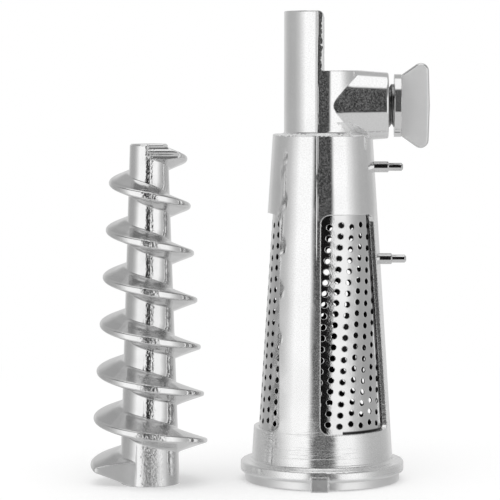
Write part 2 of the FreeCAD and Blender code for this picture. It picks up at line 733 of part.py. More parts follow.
WIDE = f"(2 * {FLIGHT_FOOT})"
CORE_TOP = "(core_radius - auger_length * tan(core_taper * 1deg))"
block_cut(
    "tail_cut", (("core_radius - tail_inset", f"-{WIDE}"), (WIDE, "overrun")),
    "tail_reach", WIDE, False,
)
block_cut(
    "head_cut", ((f"{CORE_TOP} - head_inset", "-overrun"), (WIDE, WIDE)),
    "auger_length - head_reach", WIDE, True,
)
block_cut("foot_trim", ((f"-{WIDE}", f"-{WIDE}"), (WIDE, WIDE)), "0", WIDE, False)
block_cut("top_trim", ((f"-{WIDE}", f"-{WIDE}"), (WIDE, WIDE)), "auger_length", WIDE, True)
turned(
    auger,
    "core",
    "XZ_Plane",
    [
        ("0", "0"),
        ("core_radius", "0"),
        (f"{CORE_TOP} + core_round * tan(core_taper * 1deg)", "auger_length - core_round"),
        (f"{CORE_TOP} - core_round", "auger_length"),
        ("0", "auger_length"),
    ],
    "V_Axis",
)
bush_seat_circle = disc(auger, "bush_seat_circle", "XY_Plane", "0", "bush_radius + bush_fit")
feature(auger, "Pocket", "bush_seat", bush_seat_circle, Length="bush_length + bush_fit", Reversed=True)

bush = new_body("drive_bush")
bush_circle = disc(bush, "bush_circle", "XY_Plane", "0", "bush_radius")
feature(bush, "Pad", "bush_pad", bush_circle, Length="bush_length")
square_outline = outline(
    bush, "square_outline", "XY_Plane",
    [
        ("-drive_square / 2", "-drive_square / 2"),
        ("drive_square / 2", "-drive_square / 2"),
        ("drive_square / 2", "drive_square / 2"),
        ("-drive_square / 2", "drive_square / 2"),
    ],
)
feature(bush, "Pocket", "square_socket", square_outline, Length="drive_depth", Reversed=True)
for body in (auger, bush):
    body.Placement = FreeCAD.Placement(
        FreeCAD.Vector(0, 0, 0), FreeCAD.Rotation(FreeCAD.Vector(0, 0, 1), -90),
    )
    bind(body, "Placement.Base.x", f"-flange_radius - stand_apart - {FLIGHT_FOOT}")
    bind(body, "Placement.Base.y", "-stand_forward")

doc.recompute()
nodes = [housing, screen, *made_pins, stem, wing, plug, auger, bush]
for thing in doc.Objects:
    if "Invalid" in thing.State or "Error" in thing.State:
        raise RuntimeError(f"{thing.Label} did not build: {thing.State}")
os.makedirs("parts", exist_ok=True)
for node in nodes:
    shape = node.Shape
    if shape.isNull() or not shape.isValid() or len(shape.Solids) != 1:
        raise RuntimeError(f"{node.Label} is not one valid solid")
    shape.exportStep(f"parts/{node.Label}.step")
    box = shape.BoundBox
    print(node.Label, round(shape.Volume, 2), [round(value, 2) for value in (
        box.XMin, box.YMin, box.ZMin, box.XMax, box.YMax, box.ZMax,
    )])
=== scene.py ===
"""Juicing strainer and auger of a hand grinder: finishes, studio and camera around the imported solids.

Lengths are in metres and angles in degrees.
"""

import logging
import math
from dataclasses import dataclass, field
from enum import Enum
from typing import Union

import bmesh
import bpy
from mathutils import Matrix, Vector


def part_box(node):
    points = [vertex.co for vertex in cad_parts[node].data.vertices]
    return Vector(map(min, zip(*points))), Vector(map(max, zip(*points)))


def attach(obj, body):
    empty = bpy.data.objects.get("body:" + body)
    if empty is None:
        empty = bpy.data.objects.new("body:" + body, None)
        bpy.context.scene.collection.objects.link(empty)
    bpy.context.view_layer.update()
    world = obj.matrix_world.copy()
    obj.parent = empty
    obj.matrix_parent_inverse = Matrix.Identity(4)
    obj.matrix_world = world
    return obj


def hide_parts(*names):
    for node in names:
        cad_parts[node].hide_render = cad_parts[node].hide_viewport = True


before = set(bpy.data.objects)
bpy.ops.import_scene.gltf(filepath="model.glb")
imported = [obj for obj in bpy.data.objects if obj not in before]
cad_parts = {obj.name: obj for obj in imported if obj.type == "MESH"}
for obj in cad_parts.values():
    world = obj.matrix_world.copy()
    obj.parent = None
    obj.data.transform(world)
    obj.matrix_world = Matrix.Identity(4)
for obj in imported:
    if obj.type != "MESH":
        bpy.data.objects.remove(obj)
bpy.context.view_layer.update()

log = logging.getLogger("juicing_strainer")

Colour = tuple[float, float, float]
Place = tuple[float, float, float]
Feed = Union[float, Colour, bpy.types.NodeSocket]


def grey(level: float) -> Colour:
    """Neutral colour of one level."""
    return (level, level, level)


class TurningAxis(Enum):
    """Axis that a piece was turned about, as how far its tool marks are drawn out along X, Y and Z."""

    LENGTHWAYS = (1.0, 0.03, 0.03)
    UPRIGHT = (0.03, 0.03, 1.0)


class Tree:
    """One node tree while it is being filled."""

    def __init__(self, tree: bpy.types.NodeTree) -> None:
        """Keep the tree and empty it."""
        self.tree = tree
        tree.nodes.clear()

    def add(self, kind: str, **settings: object) -> bpy.types.Node:
        """Add one node.

        Args:
            kind: Name of the node type.
            settings: Node properties and the values they get.

        Returns:
            The new node.
        """
        node = self.tree.nodes.new(kind)
        for name, value in settings.items():
            setattr(node, name, value)
        return node

    def feed(self, socket: bpy.types.NodeSocket, value: Feed) -> None:
        """Link a socket to another, or set its own value.

        Args:
            socket: Input to fill.
            value: Output socket to link, or a plain value.
        """
        if isinstance(value, bpy.types.NodeSocket):
            self.tree.links.new(value, socket)
        elif isinstance(value, tuple) and len(value) == 3 and socket.type == "RGBA":
            socket.default_value = (*value, 1.0)
        else:
            socket.default_value = value

    def math(
        self, operation: str, first: Feed, second: Feed = 0.0, third: Feed = 0.0,
    ) -> bpy.types.NodeSocket:
        """One step of arithmetic.

        Args:
            operation: Name of the operation.
            first: First number.
            second: Second number, where the operation has one.
            third: Third number, where the operation has one.

        Returns:
            The result's socket.
        """
        node = self.add("ShaderNodeMath", operation=operation)
        for socket, value in zip(node.inputs, (first, second, third)):
            self.feed(socket, value)
        return node.outputs[0]

    def product(self, first: Feed, *others: Feed) -> bpy.types.NodeSocket:
        """Product of two or more numbers.

        Args:
            first: First number.
            others: Numbers that it is multiplied by.

        Returns:
            The product's socket.
        """
        for other in others:
            first = self.math("MULTIPLY", first, other)
        return first

    def apart(self, first: Feed, second: Feed) -> bpy.types.NodeSocket:
        """How far two numbers are apart."""
        return self.math("ABSOLUTE", self.math("SUBTRACT", first, second))

    def diagonal(self, first: Feed, second: Feed) -> bpy.types.NodeSocket:
        """Distance over two lengths at right angles."""
        return self.math("SQRT", self.math("MULTIPLY_ADD", first, first, self.product(second, second)))

    def ramp(
        self, value: Feed, low: float, high: float, start: float = 0.0, end: float = 1.0,
    ) -> bpy.types.NodeSocket:
        """Smooth step of a value from one range into another.

        Args:
            value: Number to map.
            low: Value that gives start.
            high: Value that gives end.
            start: Result at low.
            end: Result at high.

        Returns:
            The result's socket.
        """
        node = self.add("ShaderNodeMapRange", interpolation_type="SMOOTHSTEP")
        for name, number in (
            ("Value", value), ("From Min", low), ("From Max", high), ("To Min", start), ("To Max", end),
        ):
            self.feed(node.inputs[name], number)
        return node.outputs["Result"]

    def between(self, mask: Feed, start: float, end: float) -> bpy.types.NodeSocket:
        """Number that goes from start to end as a mask goes from 0 to 1."""
        return self.ramp(mask, 0.0, 1.0, start, end)

    def mix(self, share: Feed, first: Feed, second: Feed) -> bpy.types.NodeSocket:
        """Mix two colours.

        Args:
            share: How much of the second colour.
            first: Colour at share 0.
            second: Colour at share 1.

        Returns:
            The mixed colour's socket.
        """
        node = self.add("ShaderNodeMix", data_type="RGBA")
        sockets = {socket.identifier: socket for socket in node.inputs}
        self.feed(sockets["Factor_Float"], share)
        self.feed(sockets["A_Color"], first)
        self.feed(sockets["B_Color"], second)
        return next(socket for socket in node.outputs if socket.identifier == "Result_Color")

    def noise(self, vector: Feed, scale: Feed, detail: float = 2.0) -> bpy.types.NodeSocket:
        """Soft noise in space.

        Args:
            vector: Place to sample.
            scale: Features per metre.
            detail: Octaves.

        Returns:
            The noise value's socket, about 0.5 on average.
        """
        node = self.add("ShaderNodeTexNoise")
        self.feed(node.inputs["Vector"], vector)
        self.feed(node.inputs["Scale"], scale)
        node.inputs["Detail"].default_value = detail
        return node.outputs["Fac"]

    def stretched(self, vector: Feed, scale: Place) -> bpy.types.NodeSocket:
        """Scale a place by a different amount along each axis.

        Args:
            vector: Place to scale.
            scale: Factor along X, Y and Z.

        Returns:
            The scaled place's socket.
        """
        node = self.add("ShaderNodeVectorMath", operation="MULTIPLY")
        self.feed(node.inputs[0], vector)
        node.inputs[1].default_value = scale
        return node.outputs["Vector"]

    def group(self, tree: bpy.types.NodeTree, **values: Feed) -> bpy.types.Node:
        """Place a shared effect in this tree.

        Args:
            tree: The effect's node group.
            values: Values for its inputs, with _ for a space in their names.

        Returns:
            The group node.
        """
        node = self.add("ShaderNodeGroup")
        node.node_tree = tree
        for name, value in values.items():
            self.feed(node.inputs[name.replace("_", " ")], value)
        return node

    def bump(self, height: Feed, depth: float, normal: bpy.types.NodeSocket | None) -> bpy.types.NodeSocket:
        """Tilt the normal by a height.

        Args:
            height: Height from 0 to 1.
            depth: Real height of 1, in metres.
            normal: Normal that is tilted, or None for the surface's own.

        Returns:
            The tilted normal's socket.
        """
        node = self.add("ShaderNodeBump")
        node.inputs["Distance"].default_value = depth
        self.feed(node.inputs["Height"], height)
        if normal is not None:
            self.feed(node.inputs["Normal"], normal)
        return node.outputs["Normal"]


class Effects:
    """Shared surface effects, each built once as a node group."""

    edge_samples: int = 6
    quick_ratio: float = 3.7
    quick_share: float = 0.16
    patch_ratio: float = 0.55
    patch_low: float = 0.38
    patch_full: float = 0.68
    band_ratio: float = 0.3
    band_low: float = 0.3
    band_full: float = 0.7
    band_least: float = 0.35
    rub_shapes: tuple[Place, ...] = ((1.0, 1.0, 9.0), (6.0, 5.0, 1.0))
    rub_width: float = 0.02
    pit_ratio: float = 0.35
    pit_rim: float = 0.22
    pit_floor: float = 0.08
    pit_depth: float = 0.4
    ridge_top: float = 0.25
    dressing_scale: float = 70.0
    dressing_low: float = 0.3
    dressing_full: float = 0.55

    def __init__(self) -> None:
        """Build every group."""
        self.soft_edges = self.build_soft_edges()
        self.hand_polish = self.build_hand_polish()
        self.tool_lines = self.build_tool_lines()
        self.rubbed_marks = self.build_rubbed_marks()
        self.cast_grain = self.build_cast_grain()
        self.parting_line = self.build_parting_line()

    @staticmethod
    def start(
        name: str, inputs: dict[str, str], outputs: dict[str, str],
    ) -> tuple[bpy.types.NodeTree, Tree, dict, dict]:
        """Open a new group.

        Args:
            name: Name of the group.
            inputs: Input names and their socket types, without the common prefix.
            outputs: Output names and their socket types, without the common prefix.

        Returns:
            The group, its tree helper, its inputs' sockets and its outputs' sockets by name.
        """
        group = bpy.data.node_groups.new(name, "ShaderNodeTree")
        for direction, sockets in (("INPUT", inputs), ("OUTPUT", outputs)):
            for label, kind in sockets.items():
                group.interface.new_socket(label, in_out=direction, socket_type=f"NodeSocket{kind}")
        tree = Tree(group)
        entry = tree.add("NodeGroupInput")
        leave = tree.add("NodeGroupOutput")
        given = {socket.name: socket for socket in entry.outputs}
        result = {socket.name: socket for socket in leave.inputs}
        return group, tree, given, result

    def build_soft_edges(self) -> bpy.types.NodeTree:
        """Edges rounded by polishing, as a rounded normal.

        Returns:
            The group.
        """
        group, tree, given, result = self.start("soft_edges", {"Radius": "Float"}, {"Normal": "Vector"})
        rounding = tree.add("ShaderNodeBevel", samples=self.edge_samples)
        tree.feed(rounding.inputs["Radius"], given["Radius"])
        tree.feed(result["Normal"], rounding.outputs["Normal"])
        return group

    def build_hand_polish(self) -> bpy.types.NodeTree:
        """Unevenness that a polishing wheel leaves: slow ripples and patches of haze.

        Returns:
            The group.
        """
        group, tree, given, result = self.start(
            "hand_polish", {"Vector": "Vector", "Scale": "Float"}, {"Height": "Float", "Haze": "Float"},
        )
        slow = tree.noise(given["Vector"], given["Scale"], detail=1.0)
        quick = tree.noise(given["Vector"], tree.product(given["Scale"], self.quick_ratio), detail=2.0)
        tree.feed(result["Height"], tree.math("MULTIPLY_ADD", quick, self.quick_share, slow))
        patches = tree.noise(given["Vector"], tree.product(given["Scale"], self.patch_ratio), detail=4.0)
        tree.feed(result["Haze"], tree.ramp(patches, self.patch_low, self.patch_full))
        return group

    def build_tool_lines(self) -> bpy.types.NodeTree:
        """Fine streaks left by a lathe tool or a grinding belt, stronger in some bands than in others.

        Returns:
            The group.
        """
        group, tree, given, result = self.start(
            "tool_lines", {"Vector": "Vector", "Pitch": "Float"}, {"Height": "Float"},
        )
        fine = tree.noise(given["Vector"], tree.math("DIVIDE", 1.0, given["Pitch"]), detail=3.0)
        wide = tree.noise(given["Vector"], tree.math("DIVIDE", self.band_ratio, given["Pitch"]), detail=1.0)
        bands = tree.ramp(wide, self.band_low, self.band_full, self.band_least, 1.0)
        tree.feed(result["Height"], tree.product(fine, bands))
        return group

    def build_rubbed_marks(self) -> bpy.types.NodeTree:
        """Fine rub marks from handling and washing, in two directions.

        Returns:
            The group.
        """
        group, tree, given, result = self.start(
            "rubbed_marks", {"Vector": "Vector", "Scale": "Float"}, {"Mask": "Float"},
        )
        marks: list[bpy.types.NodeSocket] = []
        for shape in self.rub_shapes:
            place = tree.stretched(given["Vector"], shape)
            off_line = tree.apart(tree.noise(place, given["Scale"], detail=3.0), 0.5)
            marks.append(tree.ramp(off_line, self.rub_width, 0.0))
        tree.feed(result["Mask"], tree.math("MAXIMUM", *marks))
        return group

    def build_cast_grain(self) -> bpy.types.NodeTree:
        """Skin of an unpolished casting: fine grain with small pits.

        Returns:
            The group.
        """
        group, tree, given, result = self.start(
            "cast_grain", {"Vector": "Vector", "Scale": "Float"}, {"Height": "Float"},
        )
        grain = tree.noise(given["Vector"], given["Scale"], detail=4.0)
        cells = tree.add("ShaderNodeTexVoronoi")
        tree.feed(cells.inputs["Vector"], given["Vector"])
        tree.feed(cells.inputs["Scale"], tree.product(given["Scale"], self.pit_ratio))
        pits = tree.ramp(cells.outputs["Distance"], self.pit_rim, self.pit_floor)
        tree.feed(result["Height"], tree.math("MULTIPLY_ADD", pits, -self.pit_depth, grain))
        return group

    def build_parting_line(self) -> bpy.types.NodeTree:
        """Low ridge where the halves of a mould met, dressed by hand so that it comes and goes.

        Returns:
            The group.
        """
        group, tree, given, result = self.start(
            "parting_line", {"Vector": "Vector", "Aside": "Float", "Width": "Float"}, {"Height": "Float"},
        )
        off = tree.math("DIVIDE", tree.math("ABSOLUTE", given["Aside"]), given["Width"])
        ridge = tree.ramp(off, 1.0, self.ridge_top)
        uneven = tree.noise(given["Vector"], self.dressing_scale, detail=2.0)
        left = tree.ramp(uneven, self.dressing_low, self.dressing_full)
        tree.feed(result["Height"], tree.product(ridge, left))
        return group


class Spot:
    """Place on a piece while its finish is being made."""

    def __init__(self, tree: Tree, effects: Effects) -> None:
        """Keep the tree and effects, and split the place into its coordinates.

        Args:
            tree: Tree of the material.
            effects: Shared effects.
        """
        self.tree = tree
        self.effects = effects
        self.place = tree.add("ShaderNodeTexCoord").outputs["Object"]
        axes = tree.add("ShaderNodeSeparateXYZ")
        tree.feed(axes.inputs[0], self.place)
        self.x, self.y, self.z = axes.outputs

    def radius(self) -> bpy.types.NodeSocket:
        """Distance from the piece's upright axis."""
        return self.tree.diagonal(self.x, self.y)

    def grain(self, scale: float) -> bpy.types.NodeSocket:
        """Height of a casting's grain at this place."""
        made = self.tree.group(self.effects.cast_grain, Vector=self.place, Scale=scale)
        return made.outputs["Height"]


@dataclass(frozen=True)
class MetalFinish:
    """How one metal surface is polished, marked and worn."""

    name: str
    colour: Colour
    dull_colour: Colour
    polish: float
    dullness: float
    metallic: float = 1.0
    edge_radius: float = 0.0003
    ripple_scale: float = 90.0
    ripple_depth: float = 0.00003
    rub_scale: float = 120.0
    rub_roughness: float = 0.05
    line_pitch: float = 0.0006
    line_depth: float = 0.000004
    turning: TurningAxis = TurningAxis.UPRIGHT

    def material(self, effects: Effects) -> bpy.types.Material:
        """Make the finish.

        Args:
            effects: Shared effects to place in it.

        Returns:
            The finished material.
        """
        made = bpy.data.materials.new(self.name)
        made.use_nodes = True
        tree = Tree(made.node_tree)
        shader = tree.add("ShaderNodeBsdfPrincipled")
        leave = tree.add("ShaderNodeOutputMaterial")
        tree.feed(leave.inputs["Surface"], shader.outputs["BSDF"])
        spot = Spot(tree, effects)
        edges = tree.group(effects.soft_edges, Radius=self.edge_radius)
        wheel = tree.group(effects.hand_polish, Vector=spot.place, Scale=self.ripple_scale)
        rubs = tree.group(effects.rubbed_marks, Vector=spot.place, Scale=self.rub_scale)
        drawn_out = tree.stretched(spot.place, self.turning.value)
        lines = tree.group(effects.tool_lines, Vector=drawn_out, Pitch=self.line_pitch)
        haze = wheel.outputs["Haze"]
        colour = tree.mix(haze, self.colour, self.dull_colour)
        tree.feed(shader.inputs["Base Color"], self.tint(spot, colour))
        tree.feed(shader.inputs["Metallic"], self.bareness(spot))
        dull = tree.between(haze, self.polish, self.dullness)
        rubbed = tree.math("MULTIPLY_ADD", rubs.outputs["Mask"], self.rub_roughness, dull)
        tree.feed(shader.inputs["Roughness"], self.wear(spot, rubbed))
        normal = tree.bump(wheel.outputs["Height"], self.ripple_depth, edges.outputs["Normal"])
        cut = tree.product(lines.outputs["Height"], self.line_level(spot))
        normal = tree.bump(cut, self.line_depth, normal)
        tree.feed(shader.inputs["Normal"], self.relief(spot, normal))
        return made

    def tint(self, spot: Spot, colour: bpy.types.NodeSocket) -> bpy.types.NodeSocket:
        """Colour where the finish differs from place to place."""
        return colour

    def bareness(self, spot: Spot) -> Feed:
        """How much of the surface is bare metal and not oxide."""
        return self.metallic

    def wear(self, spot: Spot, rough: bpy.types.NodeSocket) -> bpy.types.NodeSocket:
        """Roughness where the finish differs from place to place."""
        return rough

    def line_level(self, spot: Spot) -> Feed:
        """How strongly the tool lines show."""
        return 1.0

    def relief(self, spot: Spot, normal: bpy.types.NodeSocket) -> bpy.types.NodeSocket:
        """Normal with the relief that only this finish has."""
        return normal


@dataclass(frozen=True)
class CastingFinish(MetalFinish):
    """Polished casting, belt-ground round its foot, with a trace of the mould's parting line."""

    # Heights of the ground zone, the flange and the spigot, with their grinding lines and dullness.
    ground_top: float = 0.040
    ground_full: float = 0.022
    faint: float = 0.0035
    ground_roughness: float = 0.02
    flange_top: float = 0.0085
    flange_blend: float = 0.0015
    flange_roughness: float = 0.09
    flange_lines: float = 0.13
    spigot_top: float = 0.0045
    spigot_blend: float = 0.001
    spigot_roughness: float = 0.14
    # Trace of the parting line at the front.
    parting_aside: float = -0.0019
    parting_width: float = 0.0004
    parting_height: float = 0.00008
    parting_low: float = 0.085
    parting_full: float = 0.11
    # Specks of oxide in the grain, and how bare the metal is.
    grain_scale: float = 1700.0
    grain_depth: float = 0.000001
    speck_start: float = 0.62
    speck_full: float = 0.3
    least_bare: float = 0.80
    foot_bare: float = 0.87
    dull_top: float = 0.12
    dull_full: float = 0.015
    # Rough skin: along the tube's cut, on the shoulder's rim and in the corner under the boss.
    cut_face: float = 0.0005
    cut_width: float = 0.0026
    cut_least: float = 1 / 6
    cut_floor: float = 0.1639
    shoulder: float = 0.1386
    shoulder_width: float = 0.0021
    shoulder_least: float = 1 / 3
    tube_radius: float = 0.0154
    boss_axis: float = 0.150
    boss_root: float = 0.01511
    boss_slope: float = 0.0769
    corner_top: float = 0.1436
    corner_width: float = 0.0022
    skin_scale: float = 800.0
    skin_depth: float = 0.0003
    skin_bare: float = 0.3
    skin_roughness: float = 0.3

    def rough_skin(self, spot: Spot) -> bpy.types.NodeSocket:
        """Ragged mask of what the polishing wheel missed.

        Args:
            spot: Place on the casting.

        Returns:
            Socket that is 1 along the tube's upright cut, on the rim of the shoulder and in the
            corner under the boss.
        """
        tree = spot.tree
        ragged = tree.noise(spot.place, self.skin_scale, detail=3.0)
        cut_reach = tree.product(tree.math("SUBTRACT", ragged, self.cut_least), self.cut_width)
        cut = tree.math("GREATER_THAN", tree.math("ADD", spot.x, cut_reach), self.cut_face)
        cut = tree.product(cut, tree.math("GREATER_THAN", spot.z, self.cut_floor))
        rim_reach = tree.product(tree.math("SUBTRACT", ragged, self.shoulder_least), self.shoulder_width)
        rim = tree.math("LESS_THAN", tree.apart(spot.z, self.shoulder), rim_reach)
        corner_reach = tree.product(ragged, self.corner_width)
        corner = tree.math("LESS_THAN", self.from_corner(spot), corner_reach)
        corner = tree.product(corner, tree.math("LESS_THAN", spot.z, self.corner_top))
        return tree.math("MAXIMUM", cut, tree.math("MAXIMUM", rim, corner))

    def from_corner(self, spot: Spot) -> bpy.types.NodeSocket:
        """Distance from the corner where the boss meets the tube and the shoulder.

        Args:
            spot: Place on the casting.

        Returns:
            Socket with the distance in metres, which is large on the other side of the axis.
        """
        tree = spot.tree
        from_boss_axis = tree.diagonal(tree.math("SUBTRACT", spot.z, self.boss_axis), spot.y)
        boss_radius = tree.math("MULTIPLY_ADD", spot.x, -self.boss_slope, self.boss_root)
        off_boss = tree.apart(from_boss_axis, boss_radius)
        off_tube = tree.apart(spot.radius(), self.tube_radius)
        nearer = tree.math("MINIMUM", off_tube, tree.apart(spot.z, self.shoulder))
        behind = tree.math("LESS_THAN", spot.x, 0.0)
        return tree.math("ADD", tree.math("MAXIMUM", off_boss, nearer), behind)

    def bareness(self, spot: Spot) -> Feed:
        """Specks of oxide in the grain, more of it low down, most in the rough skin.

        Args:
            spot: Place on the casting.

        Returns:
            Socket with the share of bare metal.
        """
        tree = spot.tree
        grain = spot.grain(self.grain_scale)
        specks = tree.ramp(grain, self.speck_start, self.speck_full, self.metallic, self.least_bare)
        low = tree.ramp(spot.z, self.dull_top, self.dull_full, 1.0, self.foot_bare)
        missed = tree.between(self.rough_skin(spot), 1.0, self.skin_bare)
        return tree.product(specks, low, missed)

    def ground(self, spot: Spot) -> bpy.types.NodeSocket:
        """Mask of the ground zone round the foot."""
        return spot.tree.ramp(spot.z, self.ground_top, self.ground_full)

    def flange(self, spot: Spot) -> bpy.types.NodeSocket:
        """Mask of the flange and what is below it."""
        return spot.tree.ramp(spot.z, self.flange_top + self.flange_blend, self.flange_top)

    def spigot(self, spot: Spot) -> bpy.types.NodeSocket:
        """Mask of the spigot."""
        return spot.tree.ramp(spot.z, self.spigot_top + self.spigot_blend, self.spigot_top)

    def line_level(self, spot: Spot) -> Feed:
        """Strong above the flange, weaker on it, faint higher up.

        Args:
            spot: Place on the casting.

        Returns:
            Socket with the strength of the grinding lines.
        """
        tree = spot.tree
        upper = tree.math("MULTIPLY_ADD", self.ground(spot), 1.0 - self.faint, self.faint)
        return tree.product(upper, tree.between(self.flange(spot), 1.0, self.flange_lines))

    def wear(self, spot: Spot, rough: bpy.types.NodeSocket) -> bpy.types.NodeSocket:
        """Duller where it is ground, brushed on the flange, satin on the spigot and in the rough skin.

        Args:
            spot: Place on the casting.
            rough: Roughness of the polished surface.

        Returns:
            Socket with the roughness.
        """
        for zone, level in (
            (self.ground(spot), self.ground_roughness),
            (self.flange(spot), self.flange_roughness),
            (self.rough_skin(spot), self.skin_roughness),
            (self.spigot(spot), self.spigot_roughness),
        ):
            rough = spot.tree.math("MULTIPLY_ADD", zone, level, rough)
        return rough

    def relief(self, spot: Spot, normal: bpy.types.NodeSocket) -> bpy.types.NodeSocket:
        """Add the parting line, which is ground away lower down, the rough skin and a trace of grain.

        Args:
            spot: Place on the casting.
            normal: Normal of the polished surface.

        Returns:
            Socket with the tilted normal.
        """
        tree = spot.tree
        aside = tree.math("SUBTRACT", spot.x, self.parting_aside)
        line = tree.group(
            spot.effects.parting_line, Vector=spot.place, Aside=aside, Width=self.parting_width,
        )
        left = tree.ramp(spot.z, self.parting_low, self.parting_full)
        normal = tree.bump(tree.product(line.outputs["Height"], left), self.parting_height, normal)
        grain = spot.grain(self.grain_scale)
        normal = tree.bump(tree.product(grain, self.rough_skin(spot)), self.skin_depth, normal)
        return tree.bump(grain, self.grain_depth, normal)


@dataclass(frozen=True)
class AugerFinish(MetalFinish):
    """Polished casting that is left rough along its parting seam and on the cut ends of its flight."""

    # Sizes of the auger that carries the finish.
    seam_bearing: float = field(kw_only=True)
    tail_face: float = field(kw_only=True)
    head_face: float = field(kw_only=True)
    rim_foot: float = field(kw_only=True)
    rim_taper: float = field(kw_only=True)
    # Strip along the seam, and the flanks that the wheel hardly reached.
    seam_half: float = 0.0012
    seam_fade: float = 0.0026
    wide_top: float = 0.034
    wide_full: float = 0.014
    wide_share: float = 0.45
    rim_share: float = 0.5
    rim_depth: float = 0.0006
    core_reach: float = 0.0125
    core_end: float = 0.0150
    core_grain: float = 0.62
    flank_colour: Colour = grey(0.71)
    rough_depth: float = 0.0003
    rough_scale: float = 1000.0
    seam_roughness: float = 0.02
    wide_roughness: float = 0.25
    # Cut faces at the two ends of the flight.
    face_depth: float = 0.00025
    face_roughness: float = 0.36
    face_grain: float = 0.2
    tail_top: float = 0.0165
    tail_right: float = -0.0042
    tail_bare: float = 0.5
    head_low: float = 0.1245
    head_crest: float = 0.1311
    head_bare: float = 0.8
    file_pitch: float = 0.0034
    file_depth: float = 0.0004

    def large_end(self, spot: Spot) -> bpy.types.NodeSocket:
        """Mask of the large end, which is dressed least."""
        return spot.tree.ramp(spot.z, self.wide_top, self.wide_full)

    def core(self, spot: Spot) -> bpy.types.NodeSocket:
        """Mask of the core between the flights."""
        return spot.tree.ramp(spot.radius(), self.core_end, self.core_reach)

    def seam(self, spot: Spot) -> bpy.types.NodeSocket:
        """Mask of the strip along the seam, wider at the large end and on the flight.

        Args:
            spot: Place on the auger.

        Returns:
            Socket that is 1 on the strip.
        """
        tree = spot.tree
        turn = math.radians(self.seam_bearing)
        across = tree.product(spot.x, math.cos(turn))
        aside = tree.math("ABSOLUTE", tree.math("MULTIPLY_ADD", spot.y, -math.sin(turn), across))
        narrow = tree.between(self.large_end(spot), 1.0, self.wide_share)
        on_core = tree.between(self.core(spot), self.rim_share, 1.0)
        return tree.ramp(tree.product(aside, narrow, on_core), self.seam_fade, self.seam_half)

    def tint(self, spot: Spot, colour: bpy.types.NodeSocket) -> bpy.types.NodeSocket:
        """Darker on the flight's flanks, which the polishing wheel hardly reached.

        Args:
            spot: Place on the auger.
            colour: Colour of the polished surface.

        Returns:
            Socket with the colour.
        """
        tree = spot.tree
        rim = tree.math("MULTIPLY_ADD", spot.z, -math.tan(math.radians(self.rim_taper)), self.rim_foot)
        inside = tree.math("SUBTRACT", rim, spot.radius())
        flank = tree.ramp(inside, self.rim_depth, 2 * self.rim_depth)
        flank = tree.product(flank, tree.math("SUBTRACT", 1.0, self.core(spot)))
        return tree.mix(flank, colour, self.flank_colour)

    def tail(self, spot: Spot) -> bpy.types.NodeSocket:
        """Mask of the flat face at the lower end of the flight.

        Args:
            spot: Place on the auger.

        Returns:
            Socket that is 1 on the face.
        """
        tree = spot.tree
        flat = tree.math("COMPARE", spot.y, self.tail_face, self.face_depth)
        below = tree.math("LESS_THAN", spot.z, self.tail_top)
        return tree.product(flat, below, tree.math("LESS_THAN", spot.x, self.tail_right))

    def head(self, spot: Spot) -> bpy.types.NodeSocket:
        """Mask of the face at the upper end of the flight.

        Args:
            spot: Place on the auger.

        Returns:
            Socket that is 1 on the face.
        """
        tree = spot.tree
        flat = tree.math("COMPARE", spot.y, self.head_face, self.face_depth)
        return tree.product(flat, tree.math("GREATER_THAN", spot.z, self.head_low))

    def bareness(self, spot: Spot) -> Feed:
        """Oxide on the ends of the flight.

        Args:
            spot: Place on the auger.

        Returns:
            Socket with the share of bare metal.
        """
        tree = spot.tree
        upper = tree.between(self.head(spot), self.metallic, self.head_bare)
        return tree.product(upper, tree.between(self.tail(spot), 1.0, self.tail_bare))

    def wear(self, spot: Spot, rough: bpy.types.NodeSocket) -> bpy.types.NodeSocket:
        """Dull along the seam, most at the large end, and satin on the lower end of the flight.

        Args:
            spot: Place on the auger.
            rough: Roughness of the polished surface.

        Returns:
            Socket with the roughness.
        """
        tree = spot.tree
        level = tree.math("MULTIPLY_ADD", self.large_end(spot), self.wide_roughness, self.seam_roughness)
        strip = tree.product(self.seam(spot), self.core(spot))
        dull = tree.math("MULTIPLY_ADD", strip, level, rough)
        return tree.math("MULTIPLY_ADD", self.tail(spot), self.face_roughness, dull)

    def relief(self, spot: Spot, normal: bpy.types.NodeSocket) -> bpy.types.NodeSocket:
        """Rough skin along the seam and on the lower end, and file strokes across the upper end.

        Args:
            spot: Place on the auger.
            normal: Normal of the polished surface.

        Returns:
            Socket with the tilted normal.
        """
        tree = spot.tree
        coarse = tree.between(self.core(spot), 1.0, self.core_grain)
        coarse = tree.math("MAXIMUM", coarse, self.large_end(spot))
        skin = tree.product(self.seam(spot), coarse)
        level = tree.math("MULTIPLY_ADD", self.tail(spot), self.face_grain, skin)
        normal = tree.bump(tree.product(spot.grain(self.rough_scale), level), self.rough_depth, normal)
        off_crest = tree.math("SUBTRACT", spot.z, self.head_crest)
        strokes = tree.math("SINE", tree.product(off_crest, math.tau / self.file_pitch))
        return tree.bump(tree.product(strokes, self.head(spot)), self.file_depth, normal)


